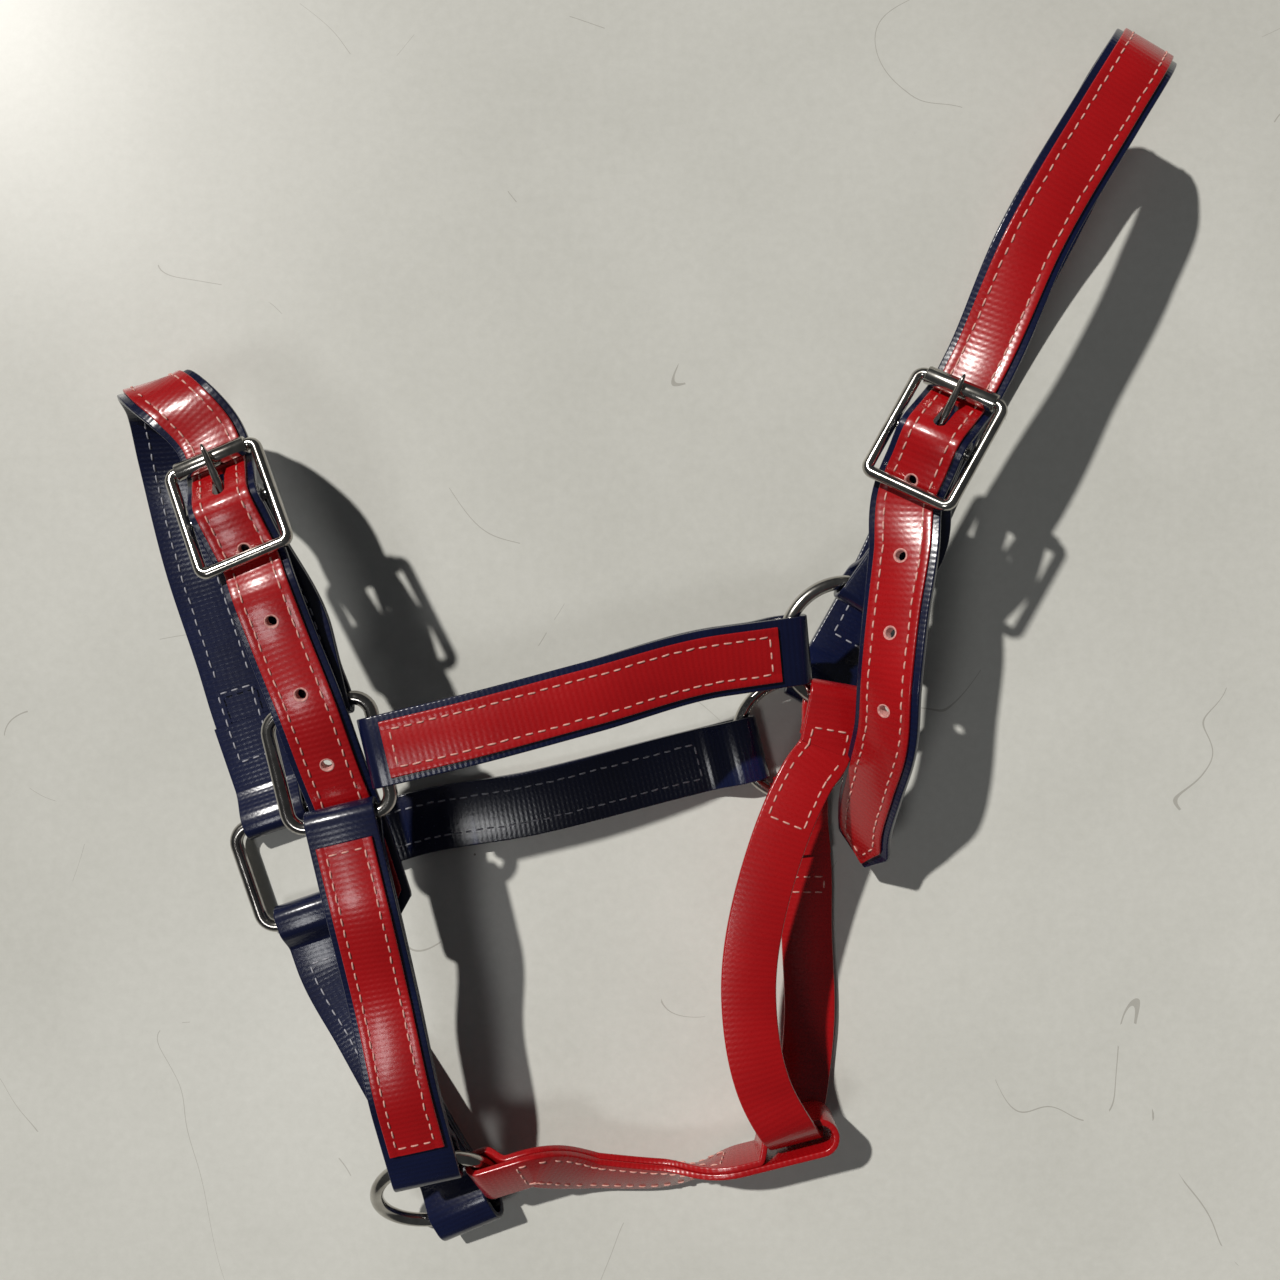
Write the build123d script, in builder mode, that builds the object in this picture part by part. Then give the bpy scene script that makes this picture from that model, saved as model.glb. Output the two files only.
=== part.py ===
from build123d import *
from math import cos, radians, sin, sqrt
import os

# Horse head halter laid on its left side on a flat surface, as it is stored or sold.
# Right-hand (near) side above, left-hand (far) side on the surface. Millimetres, Z up.
# The front of every strap is the face that looks away from the horse.

# ---------------------------------------------------------------- driving dimensions
STRAP_WIDTH = 25.0            # blue base webbing
STRAP_THICK = 2.4
OVERLAY_WIDTH = 20.0          # red webbing sewn along the middle of the base
OVERLAY_THICK = 1.4
OVERLAY_LIFT = 0.1            # bedding gap between base and overlay
NARROW_WIDTH = 20.0           # plain red webbing of the throat strap and its connector
CHAPE_THICK = 2.0             # thinned webbing that is folded round a buckle bar

WIRE = 5.0                    # ring wire diameter
ROUND_RING_RADIUS = 22.5      # wire centre line of the round rings
NOSE_RING_ACROSS = 37.0       # wire centre lines of the rectangular rings
NOSE_RING_ALONG = 41.0
NOSE_RING_CORNER = 6.5

BUCKLE_WIRE = 4.2
BUCKLE_ACROSS = 31.8          # wire centre lines of the buckle frame
BUCKLE_ALONG = 38.8
BUCKLE_CORNER = 2.6
BAR_DIAMETER = 4.0            # centre bar
BAR_DROP = 1.6                # centre bar below the plane of the frame
BAR_SEAT = 0.4                # centre bar past the centre lines of the frame's sides
ROLLER_OUTER = 6.4
ROLLER_LENGTH = 26.0
RUNNING_FIT = 0.06            # radial clearance of roller and tongue

HOLE = 4.5                    # punched holes of the two billets
HOLE_PITCH = 27.0
HOLE_COUNT = 5                # the tongue's hole and four free ones
PIN_SLOT = 14.6                # hole stretched by the tongue that stands in it

BORE = WIRE / 2 + 0.4         # half height inside a fold round ring wire
TILTED_BORE = WIRE / 2 + 1.3  # fold round a ring that lies askew to the strap
BAR_BORE = BAR_DIAMETER / 2 + 0.3
LOOP_BORE = 4.8               # half height inside the connector's loop
TAPER = 14.0                  # length over which the two layers of a fold come together
END_LENGTH = 24.0             # from the wire to where a folded end meets the plain strap
LAP = 40.0                    # turned-back layer of a single strap
SHORT_LAP = 24.0
LAP_STEP = 2.0                # the plain strap starts this far past the turned-back layer
OVERLAY_SETBACK = 13.0        # overlay stops this far short of the end of a fold
SEAT = 8.0                    # the plain strap runs up to this far into its folded end
SKIN = 0.01                   # and is this much smaller all round
SECTION_SPACING = 9.0

CENTRE = Vector(0.2, -6.9, -0.04)  # under the middle of the laid-out halter, where it rests


def at(x, y, z):
    return Vector(x, y, z) - CENTRE


# ---------------------------------------------------------------- ring and buckle frames
def upright(origin, heading, pitch=0.0, roll=0.0):
    """Plane with x along the heading, dropped by pitch, right-hand edge raised by roll."""
    x_dir = Vector(1, 0, 0).rotate(Axis.Y, pitch).rotate(Axis.Z, heading)
    z_dir = Vector(0, 0, 1).rotate(Axis.X, -roll).rotate(Axis.Y, pitch).rotate(Axis.Z, heading)
    return Plane(origin=origin, x_dir=x_dir, z_dir=z_dir)


# x of a nose ring points to the cheek strap, y to the noseband
NEAR_NOSE_RING = upright(at(-108.9, -43.1, 60), 13.5)
FAR_NOSE_RING = upright(at(-136.1, -88.5, 6.8), 19.0)
NEAR_CHEEK_RING = Plane(origin=at(74.7, -1.3, 42), x_dir=(1, 0, -0.10), z_dir=(0.10, -0.14, 1))
FAR_CHEEK_RING = upright(at(60.8, -38.3, 6.8), 0)
CHIN_RING = Plane(
    origin=at(-77, -208.5, 23.5), x_dir=(0.966, 0.259, 0), z_dir=(0.166, -0.621, 0.766)
)

# x of a buckle points from its centre bar to its roller
CROWN_BUCKLE = upright(at(100.7, 69, 70), 61, 0, 20)
NOSE_BUCKLE = upright(at(-141, 45.4, 70), 112.9, 14, 0)


# ---------------------------------------------------------------- strap ends
class End:
    """Folded end of a strap: the plane at the wire, x out of the strap, z out of its front."""

    def __init__(
        self, plane, bore, before, after,
        thick=STRAP_THICK, lap=0.0, taper=TAPER, length=END_LENGTH, setback=OVERLAY_SETBACK,
    ):
        self.plane = plane
        self.bore = bore
        self.before = before
        self.after = after
        self.thick = thick
        self.lap = lap
        self.taper = taper
        self.front = bore + thick
        self.length = lap + LAP_STEP if lap else length
        self.edge = after + self.front - setback

    def face_point(self, x):
        return self.plane.origin + self.plane.z_dir * self.front + self.plane.x_dir * x

    def leaving(self):
        """Stations from the fold to the plain strap, for an end that the path starts at."""
        out = self.plane.x_dir * -1
        side = self.plane.y_dir * -1
        seat = min(SEAT, self.length - self.before - self.taper - 0.5)
        stops = (self.edge, -self.length + seat, -self.length)
        return [(self.face_point(x), side, out) for x in stops]

    def arriving(self):
        stations = [(point, side * -1, out * -1) for point, side, out in self.leaving()]
        return stations[::-1]


def on_round_ring(ring, angle, pitch=0.0, front=1, inside=False, shift=0.0):
    """Plane of a fold at a point of a round ring; the strap pulls outwards unless inside."""
    radial = ring.x_dir * cos(radians(angle)) + ring.y_dir * sin(radians(angle))
    tangent = ring.z_dir.cross(radial)
    origin = ring.origin + radial * ROUND_RING_RADIUS
    out = radial if inside else radial * -1
    out = out.rotate(Axis((0, 0, 0), tangent), pitch)
    normal = out.cross(tangent)
    if normal.dot(ring.z_dir) * front < 0:
        normal = normal * -1
    return Plane(origin=origin + normal * shift, x_dir=out, z_dir=normal)


def on_nose_ring(ring, bar, front=1):
    """Plane of a fold on the cheek, nose or chin bar of a rectangular ring."""
    bars = {
        "cheek": (ring.x_dir, NOSE_RING_ACROSS / 2),
        "nose": (ring.y_dir, NOSE_RING_ALONG / 2),
        "chin": (ring.y_dir * -1, NOSE_RING_ALONG / 2),
    }
    away, reach = bars[bar]
    return Plane(origin=ring.origin + away * reach, x_dir=away * -1, z_dir=ring.z_dir * front)


def sagitta(width):
    """How far the wire of a round ring falls back from its tangent at the strap's edges."""
    return ROUND_RING_RADIUS - sqrt(ROUND_RING_RADIUS ** 2 - (width / 2) ** 2)


# ---------------------------------------------------------------- paths and ribbons
def side_of(azimuth, elevation=0.0):
    level = cos(radians(elevation))
    return Vector(level * cos(radians(azimuth)), level * sin(radians(azimuth)), sin(radians(elevation)))


def station(x, y, z, azimuth, elevation=0.0):
    """Point on the front of the base strap, and the direction of its left-hand edge."""
    return (at(x, y, z), side_of(azimuth, elevation), None)


def weave(buckle):
    """Path of the billet: under the near bar, over the centre bar and under the roller."""
    heights = {-30: -4.3, -19.4: -4.7, -9.7: 0.4, 0: 5.2, 9.7: -0.2, 19.4: -5.8, 30: -5.2}
    side = buckle.y_dir
    return [(buckle.origin + buckle.x_dir * x + buckle.z_dir * z, side, None) for x, z in heights.items()]


def slopes(values, spans, fixed):
    """Derivative at each station: given, or the Catmull-Rom value for uneven spans."""
    result = []
    last = len(values) - 1
    for i, value in enumerate(values):
        if fixed[i] is not None:
            result.append(fixed[i])
        elif i == 0:
            result.append((values[1] - value) * (1 / spans[0]))
        elif i == last:
            result.append((value - values[i - 1]) * (1 / spans[-1]))
        else:
            before = (value - values[i - 1]) * (spans[i] / spans[i - 1])
            after = (values[i + 1] - value) * (spans[i - 1] / spans[i])
            result.append((before + after) * (1 / (spans[i - 1] + spans[i])))
    return result


def hermite(a, b, slope_a, slope_b, span, t):
    value = a * (2 * t ** 3 - 3 * t ** 2 + 1) + b * (3 * t ** 2 - 2 * t ** 3)
    value += slope_a * (span * (t ** 3 - 2 * t ** 2 + t)) + slope_b * (span * (t ** 3 - t ** 2))
    rate = (b - a) * ((6 * t - 6 * t ** 2) / span)
    rate += slope_a * (3 * t ** 2 - 4 * t + 1) + slope_b * (3 * t ** 2 - 2 * t)
    return value, rate


def section_planes(stations, spacing=SECTION_SPACING):
    """Planes across the strap along its path: x to the left edge, y out of the front."""
    points = [s[0] for s in stations]
    sides = [s[1] for s in stations]
    spans = [(b - a).length for a, b in zip(points, points[1:])]
    point_slopes = slopes(points, spans, [s[2] for s in stations])
    side_slopes = slopes(sides, spans, [Vector(0, 0, 0) if s[2] else None for s in stations])
    planes = []
    for i, span in enumerate(spans):
        steps = max(1, round(span / spacing))
        last = i == len(spans) - 1
        for step in range(steps + 1 if last else steps):
            t = step / steps
            point, along = hermite(points[i], points[i + 1], point_slopes[i], point_slopes[i + 1], span, t)
            side, _ = hermite(sides[i], sides[i + 1], side_slopes[i], side_slopes[i + 1], span, t)
            planes.append(Plane(origin=point, x_dir=side, z_dir=along))
    return planes


def ribbon(stations, width, bottom, top, spacing=SECTION_SPACING):
    """Strap lofted along its path; its section runs from bottom to top above the base's front."""
    with BuildPart() as strip:
        for plane in section_planes(stations, spacing):
            with BuildSketch(plane):
                with Locations((0, (bottom + top) / 2)):
                    Rectangle(width, top - bottom)
        loft()
    return strip.part


def fold(end, width):
    """Folded end of a strap round a wire, with its turned-back layer behind the front one."""
    front = end.front
    back = front - 2 * end.thick
    profile = end.plane.x_dir.cross(end.plane.z_dir)
    close = end.before + end.taper
    tail = end.lap if end.lap else end.length
    with BuildPart() as folded:
        with BuildSketch(Plane(origin=end.plane.origin, x_dir=end.plane.x_dir, z_dir=profile)):
            with BuildLine():
                if end.after + end.before > 0:
                    Line((end.after, -front), (-end.before, -front))
                Polyline((-end.before, -front), (-close, back), (-tail, back))
                if end.lap:
                    Polyline((-tail, back), (-tail, end.bore), (-end.length, end.bore))
                    Line((-end.length, end.bore), (-end.length, front))
                else:
                    Line((-tail, back), (-tail, front))
                Line((-end.length, front), (end.after, front))
                ThreePointArc((end.after, front), (end.after + front, 0), (end.after, -front))
            make_face()
            with BuildLine():
                Polyline((-end.before, -end.bore), (-close, end.bore), (end.after, end.bore))
                ThreePointArc((end.after, end.bore), (end.after + end.bore, 0), (end.after, -end.bore))
                if end.after + end.before > 0:
                    Line((end.after, -end.bore), (-end.before, -end.bore))
            make_face(mode=Mode.SUBTRACT)
        extrude(amount=width / 2, both=True)
    return folded.part


def save(piece, name):
    piece.part.label = name
    export_step(piece.part, "parts/" + name + ".step")


# ---------------------------------------------------------------- the straps' own ends and paths
SAG = sagitta(STRAP_WIDTH) + 0.3
NARROW_SAG = sagitta(NARROW_WIDTH) + 0.3
BAR_PLAY = 0.4
SKEW_PLAY = 2.2

near_cheek_front = End(on_nose_ring(NEAR_NOSE_RING, "cheek"), BORE, BAR_PLAY, BAR_PLAY, setback=8.5)
near_cheek_rear = End(on_round_ring(NEAR_CHEEK_RING, 187, -5), BORE, BAR_PLAY, SAG)
far_cheek_front = End(on_nose_ring(FAR_NOSE_RING, "cheek", -1), BORE, BAR_PLAY, BAR_PLAY)
far_cheek_rear = End(on_round_ring(FAR_CHEEK_RING, 194, 0, -1), BORE, BAR_PLAY, SAG)
near_chin_top = End(on_nose_ring(NEAR_NOSE_RING, "chin"), BORE, BAR_PLAY, BAR_PLAY)
near_chin_low = End(
    on_round_ring(CHIN_RING, 85, 20, shift=-0.65), TILTED_BORE, BAR_PLAY, SAG, setback=20.0
)
far_chin_top = End(
    on_nose_ring(FAR_NOSE_RING, "chin", -1), BORE, SKEW_PLAY, SKEW_PLAY, taper=9.0, length=18.0
)
far_chin_low = End(on_round_ring(CHIN_RING, 285, -28, -1, True, -0.9), TILTED_BORE, SAG, BAR_PLAY)
crown_far = End(on_round_ring(FAR_CHEEK_RING, 60.6, 0, -1), BORE, BAR_PLAY, SAG, lap=LAP)
nose_far = End(on_nose_ring(FAR_NOSE_RING, "nose", -1), BORE, BAR_PLAY, BAR_PLAY, lap=LAP)
throat_near = End(on_round_ring(NEAR_CHEEK_RING, 260), BORE, BAR_PLAY, NARROW_SAG, STRAP_THICK, 12.5, 10.0)
throat_far = End(on_round_ring(FAR_CHEEK_RING, 275.6, 0, -1), BORE, BAR_PLAY, NARROW_SAG, lap=SHORT_LAP)

crown_chape_plane = on_round_ring(NEAR_CHEEK_RING, 60, -14, shift=0.46)
crown_chape_ring = End(crown_chape_plane, TILTED_BORE, BAR_PLAY, SAG, CHAPE_THICK, 0, 8.0, 16.0)
nose_chape_ring = End(on_nose_ring(NEAR_NOSE_RING, "nose"), BORE, BAR_PLAY, BAR_PLAY, CHAPE_THICK)


def on_centre_bar(buckle, pitch):
    """Plane of the chape's fold round the centre bar, rising to it by the pitch."""
    origin = buckle.origin - buckle.z_dir * BAR_DROP
    x_dir = buckle.x_dir.rotate(Axis((0, 0, 0), buckle.y_dir), -pitch)
    z_dir = buckle.z_dir.rotate(Axis((0, 0, 0), buckle.y_dir), -pitch)
    return Plane(origin=origin, x_dir=x_dir, z_dir=z_dir)


crown_chape_bar = End(on_centre_bar(CROWN_BUCKLE, 37), BAR_BORE, BAR_PLAY, 0, CHAPE_THICK, 0, 8.0, 12.0)
nose_chape_bar = End(on_centre_bar(NOSE_BUCKLE, 37), BAR_BORE, BAR_PLAY, 0, CHAPE_THICK, 0, 10.0, 14.0)

# the connector's loop stands upright round the throat strap
LOOP_HEADING = 14
LOOP_PLANE = Plane(
    origin=at(51.8, -191.0, 19.5), x_dir=side_of(LOOP_HEADING), z_dir=side_of(LOOP_HEADING - 90)
)
LOOP_REACH = 16.5
connector_plane = on_round_ring(CHIN_RING, 4.1, 0)
connector_ring = End(connector_plane, BORE, BAR_PLAY, NARROW_SAG, STRAP_THICK, 0, 8.0, 13.0)
connector_loop = End(LOOP_PLANE, LOOP_BORE, 2.0, LOOP_REACH, STRAP_THICK, 0, 6.0, 14.0)

near_cheek_path = near_cheek_front.leaving() + [
    station(-18, -20.2, 61.5, 103.2),
] + near_cheek_rear.arriving()
far_cheek_path = far_cheek_front.leaving() + [
    station(-40, -63.5, 4, -76),
] + far_cheek_rear.arriving()
near_chin_path = near_chin_top.leaving() + [
    station(-91.5, -127, 55.5, 11.5),
] + near_chin_low.arriving()
far_chin_path = far_chin_top.leaving() + [
    station(-106.5, -153.4, 6, 207.8),
] + far_chin_low.arriving()
crown_path = [
    station(86.5, -87.7, 15, 183, -62),
    station(83.5, -70, 28, 182, -59),
    station(84.2, -51, 45.5, 179, -53),
    station(85.6, -33.9, 59.5, 175, -44),
    station(85.4, -15, 66.5, 170, -42),
    station(88.0, 10.4, 66.3, 164, -39),
    station(90.8, 31, 66, 158, -30),
] + weave(CROWN_BUCKLE)[1:] + [
    station(134, 136, 72, 151),
    station(162, 183, 67, 148),
    station(178, 207.5, 57.5, 149),
    station(183.2, 214.5, 45, 149.2),
    station(178.5, 206, 31.5, 150),
    station(160, 166, 17, 153),
    station(122, 86, 5, 153.5),
] + crown_far.arriving()
nose_path = [
    station(-90.6, -106.6, 48.5, 190),
    station(-96.9, -86.5, 49.5, 190),
    station(-103.6, -64.4, 52.2, 192),
    station(-109.4, -43.2, 60.5, 195),
    station(-114.5, -23.4, 68.2, 198),
    station(-123.5, 0.7, 70.5, 201),
] + weave(NOSE_BUCKLE) + [
    station(-163.5, 84, 57, 201),
    station(-174, 91, 50, 198),
    station(-178.5, 92.5, 41, 197),
    station(-180.5, 88, 27, 196),
    station(-181, 70, 14, 194),
    station(-175, 31, 4, 195),
    station(-163, -8, 1.6, 198),
] + nose_far.arriving()
throat_path = throat_near.leaving() + [
    station(61, -49, 45.5, 335),
    station(47, -82, 48, 341),
    station(39.5, -131, 45, 4),
    station(46.5, -167, 41, 16),
    station(55.5, -183.5, 36.5, 15),
    station(60.5, -191.5, 20, 14),
    station(61.8, -187.5, 6.6, 12),
    station(64.5, -175, 2.2, 8),
    station(67, -150, 1.6, 2),
    station(66, -115, 1.5, 0),
] + throat_far.arriving()
connector_path = connector_ring.leaving() + [
    station(-18, -207, 16, 98, 42),
    station(10, -209, 13.5, 95, 50),
] + connector_loop.arriving()
crown_chape_path = crown_chape_ring.leaving() + crown_chape_bar.arriving()
nose_chape_path = nose_chape_ring.leaving() + nose_chape_bar.arriving()


# ---------------------------------------------------------------- doubled straps between rings
def doubled_strap(name, path, ends, width):
    core = ribbon(path[1:-1], width - 2 * SKIN, SKIN - 2 * STRAP_THICK, -SKIN)
    folds = [fold(end, width) for end in ends]
    with BuildPart() as strap:
        add(core)
        for piece in folds:
            add(piece)
    save(strap, name)


def overlay(name, path):
    strip = ribbon(path, OVERLAY_WIDTH, OVERLAY_LIFT, OVERLAY_LIFT + OVERLAY_THICK)
    with BuildPart() as cover:
        add(strip)
    save(cover, name)


def single_strap(name, path, ends, width):
    core = ribbon(path, width - 2 * SKIN, SKIN - STRAP_THICK, -SKIN)
    folds = [fold(end, width) for end in ends]
    with BuildPart() as strap:
        add(core)
        for piece in folds:
            add(piece)
    save(strap, name)


def round_ring(name, plane):
    with BuildPart(plane) as ring:
        Torus(ROUND_RING_RADIUS, WIRE / 2)
    save(ring, name)


def wire_rectangle(plane, half_x, half_y, corner, wire):
    """Round wire bent to a rectangle with round corners, closed at the middle of a side."""
    start = plane.origin - plane.y_dir * half_y
    with BuildPart() as bent:
        with BuildLine(plane):
            for hand in (1, -1):
                x = hand * half_x
                y = hand * half_y
                FilletPolyline((0, -y), (x, -y), (x, y), (0, y), radius=corner)
        with BuildSketch(Plane(origin=start, x_dir=plane.y_dir, z_dir=plane.x_dir)):
            Circle(wire / 2)
        sweep()
    return bent.part


def nose_ring(name, plane):
    bent = wire_rectangle(plane, NOSE_RING_ACROSS / 2, NOSE_RING_ALONG / 2, NOSE_RING_CORNER, WIRE)
    with BuildPart() as ring:
        add(bent)
    save(ring, name)


# ---------------------------------------------------------------- roller buckles
def buckle_frame(name, plane):
    half_y = BUCKLE_ACROSS / 2
    bent = wire_rectangle(plane, BUCKLE_ALONG / 2, half_y, BUCKLE_CORNER, BUCKLE_WIRE)
    bar = plane.origin - plane.z_dir * BAR_DROP
    with BuildPart() as frame:
        add(bent)
        with BuildSketch(Plane(origin=bar, x_dir=plane.x_dir, z_dir=plane.y_dir)):
            Circle(BAR_DIAMETER / 2)
        extrude(amount=half_y + BAR_SEAT, both=True)
    save(frame, name)


def buckle_roller(name, plane):
    bar = plane.origin + plane.x_dir * (BUCKLE_ALONG / 2)
    with BuildPart() as roller:
        with BuildSketch(Plane(origin=bar, x_dir=plane.x_dir, z_dir=plane.y_dir)):
            Circle(ROLLER_OUTER / 2)
            Circle(BUCKLE_WIRE / 2 + RUNNING_FIT, mode=Mode.SUBTRACT)
        extrude(amount=ROLLER_LENGTH / 2, both=True)
    save(roller, name)


# the tongue's eye and pin
TONGUE_EYE = 3.7              # outer radius of the tongue's eye round the centre bar
TONGUE_WIDTH = 3.0
TONGUE_WIRE = 2.4
TONGUE_RISE = 7.7             # its tip above the centre bar, where it rests on the roller
TONGUE_REACH = 22.6


def buckle_tongue(name, plane):
    """Eye on the centre bar, and a tapering pin whose tip lies on the roller."""
    half = TONGUE_WIRE / 2
    bar = plane.origin - plane.z_dir * BAR_DROP
    across = plane.x_dir.cross(plane.z_dir)
    with BuildPart() as tongue:
        with BuildSketch(Plane(origin=bar, x_dir=plane.x_dir, z_dir=across)):
            Circle(TONGUE_EYE)
            with BuildLine():
                Polyline(
                    (1.0, 3.2), (TONGUE_REACH - 1, TONGUE_RISE + half), (TONGUE_REACH, TONGUE_RISE + 0.2),
                    (TONGUE_REACH - 0.4, TONGUE_RISE - half + 0.2), (3.0, -0.6), (1.0, 3.2),
                )
            make_face()
            Circle(BAR_DIAMETER / 2 + RUNNING_FIT, mode=Mode.SUBTRACT)
        extrude(amount=TONGUE_WIDTH / 2, both=True)
    save(tongue, name)


# ---------------------------------------------------------------- billets and chapes
PIN_STATION = 8.3             # where the tongue stands in the billet, from the centre bar
SLOT_WIDTH = 4.4              # slot in the chape's fold for the tongue's eye
SLOT_SHIFT = 2.0              # middle of the slot, out of the fold from the bar
SLOT_ROOM = (13.0, 12.0)      # cut along and through the fold
CHAPE_SPACING = 4.0           # sections of the short chapes lie closer
TIP_LENGTH = 12.0
OVERLAY_INSET = 3.0
CUT = 3.5                     # half height of the punches


def punch_planes(path, buckle):
    """Planes on the billet's front at the tongue's hole and at the free holes before it."""
    planes = section_planes(path, 1.0)
    pin = buckle.origin + buckle.x_dir * PIN_STATION
    last = min(range(len(planes)), key=lambda i: (planes[i].origin - pin).length)
    found = [planes[last]]
    travelled = 0.0
    for i in range(last, 0, -1):
        travelled += (planes[i].origin - planes[i - 1].origin).length
        if travelled >= HOLE_PITCH and len(found) < HOLE_COUNT:
            found.append(planes[i - 1])
            travelled -= HOLE_PITCH
    return [Plane(origin=p.origin, x_dir=p.z_dir, z_dir=p.y_dir) for p in found]


def punched(piece, planes, tip, inset):
    """Cut the stretched hole, the round holes and the pointed tip of a billet."""
    shoulder = inset + TIP_LENGTH
    clear = inset - CUT
    with BuildPart() as strap:
        add(piece)
        with BuildSketch(planes[0]):
            SlotOverall(PIN_SLOT, HOLE)
        for plane in planes[1:]:
            with BuildSketch(plane):
                Circle(HOLE / 2)
        extrude(amount=CUT, both=True, mode=Mode.SUBTRACT)
        with BuildSketch(Plane(origin=tip.origin, x_dir=tip.z_dir, z_dir=tip.y_dir)):
            for edge in (-STRAP_WIDTH / 2 - 1, STRAP_WIDTH / 2 + 1):
                with BuildLine():
                    Polyline((clear, 0), (inset, 0), (shoulder, edge), (clear, edge), close=True)
                make_face()
        extrude(amount=CUT, both=True, mode=Mode.SUBTRACT)
    return strap


def billet(name, cover_name, path, end, buckle):
    """Single strap with a folded far end and a punched free end, and the red strip on it."""
    holes = punch_planes(path, buckle)
    tip = section_planes(path)[0]
    core = ribbon(path[:-1], STRAP_WIDTH - 2 * SKIN, SKIN - STRAP_THICK, -SKIN)
    folded = fold(end, STRAP_WIDTH)
    with BuildPart() as whole:
        add(core)
        add(folded)
    save(punched(whole.part, holes, tip, 0), name)
    cover = ribbon(path, OVERLAY_WIDTH, OVERLAY_LIFT, OVERLAY_LIFT + OVERLAY_THICK)
    save(punched(cover, holes, tip, OVERLAY_INSET), cover_name)


def chape(name, path, ring_end, bar_end):
    core = ribbon(path[1:-1], STRAP_WIDTH - 2 * SKIN, SKIN - 2 * CHAPE_THICK, -SKIN, CHAPE_SPACING)
    folds = [fold(end, STRAP_WIDTH) for end in (ring_end, bar_end)]
    bar = bar_end.plane
    with BuildPart() as strap:
        add(core)
        for piece in folds:
            add(piece)
        with BuildSketch(Plane(origin=bar.origin, x_dir=bar.x_dir, z_dir=bar.x_dir.cross(bar.z_dir))):
            with Locations((SLOT_SHIFT, 0)):
                Rectangle(*SLOT_ROOM)
        extrude(amount=SLOT_WIDTH / 2, both=True, mode=Mode.SUBTRACT)
    save(strap, name)


def main():
    os.makedirs("parts", exist_ok=True)
    doubled_strap("near_cheek_strap", near_cheek_path, (near_cheek_front, near_cheek_rear), STRAP_WIDTH)
    doubled_strap("far_cheek_strap", far_cheek_path, (far_cheek_front, far_cheek_rear), STRAP_WIDTH)
    doubled_strap("near_chin_strap", near_chin_path, (near_chin_top, near_chin_low), STRAP_WIDTH)
    doubled_strap("far_chin_strap", far_chin_path, (far_chin_top, far_chin_low), STRAP_WIDTH)
    doubled_strap("throat_connector", connector_path, (connector_ring, connector_loop), NARROW_WIDTH)
    chape("crown_chape", crown_chape_path, crown_chape_ring, crown_chape_bar)
    chape("nose_chape", nose_chape_path, nose_chape_ring, nose_chape_bar)
    single_strap("throat_strap", throat_path[1:-1], (throat_near, throat_far), NARROW_WIDTH)
    billet("crown_strap", "crown_overlay", crown_path, crown_far, CROWN_BUCKLE)
    billet("noseband_strap", "noseband_overlay", nose_path, nose_far, NOSE_BUCKLE)
    overlay("near_cheek_overlay", near_cheek_path)
    overlay("far_cheek_overlay", far_cheek_path)
    overlay("near_chin_overlay", near_chin_path)
    overlay("far_chin_overlay", far_chin_path)
    round_ring("near_cheek_ring", NEAR_CHEEK_RING)
    round_ring("far_cheek_ring", FAR_CHEEK_RING)
    round_ring("chin_ring", CHIN_RING)
    nose_ring("near_nose_ring", NEAR_NOSE_RING)
    nose_ring("far_nose_ring", FAR_NOSE_RING)
    for side, plane in (("crown", CROWN_BUCKLE), ("nose", NOSE_BUCKLE)):
        buckle_frame(side + "_buckle_frame", plane)
        buckle_roller(side + "_buckle_roller", plane)
        buckle_tongue(side + "_buckle_tongue", plane)


if __name__ == "__main__":
    main()
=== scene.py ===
import math
import random

import bmesh
import bpy
from mathutils import Matrix, Vector


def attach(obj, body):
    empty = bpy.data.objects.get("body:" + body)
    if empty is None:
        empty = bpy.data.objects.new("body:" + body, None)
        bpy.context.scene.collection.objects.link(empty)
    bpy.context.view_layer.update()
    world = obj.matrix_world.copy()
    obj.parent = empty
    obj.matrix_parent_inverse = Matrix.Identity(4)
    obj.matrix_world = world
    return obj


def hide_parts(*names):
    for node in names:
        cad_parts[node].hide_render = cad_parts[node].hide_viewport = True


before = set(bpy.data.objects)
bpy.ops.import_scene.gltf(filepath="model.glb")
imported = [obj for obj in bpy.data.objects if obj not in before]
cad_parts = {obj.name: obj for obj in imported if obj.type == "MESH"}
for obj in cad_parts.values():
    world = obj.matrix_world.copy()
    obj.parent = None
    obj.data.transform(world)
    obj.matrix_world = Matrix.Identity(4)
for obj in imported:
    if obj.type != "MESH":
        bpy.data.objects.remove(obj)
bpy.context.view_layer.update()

random.seed(7)

# Horse head halter lying on its left side. Lengths below are in millimetres; meshes are
# written in metres. A strap is one flat band of webbing, swept along the stations that
# its solid has, folded round its rings and sewn.

MM = 0.001
ROOT = "halter_straps"
CENTRE = Vector((0.2, -6.9, -0.04))

# ---------------------------------------------------------------- driving dimensions
STRAP_WIDTH = 25.0
STRAP_THICK = 2.4
OVERLAY_WIDTH = 20.0
OVERLAY_THICK = 1.4
OVERLAY_LIFT = 0.1
NARROW_WIDTH = 20.0
CHAPE_THICK = 2.0

WIRE = 5.0
WIRE_SIDES = 28
ROUND_RING_RADIUS = 22.5
NOSE_RING_ACROSS = 37.0
NOSE_RING_ALONG = 41.0
NOSE_RING_CORNER = 6.5

BUCKLE_WIRE = 4.2
BUCKLE_ACROSS = 31.8
BUCKLE_ALONG = 38.8
BUCKLE_CORNER = 2.6
BAR_DIAMETER = 4.0
BAR_DROP = 1.6
ROLLER_OUTER = 6.4
ROLLER_LENGTH = 26.0
TONGUE_EYE = 3.7
TONGUE_WIDTH = 3.0
TONGUE_RISE = 7.7
TONGUE_REACH = 22.6
PIN_STATION = 8.3
PIN_SLOT = 14.6

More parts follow.
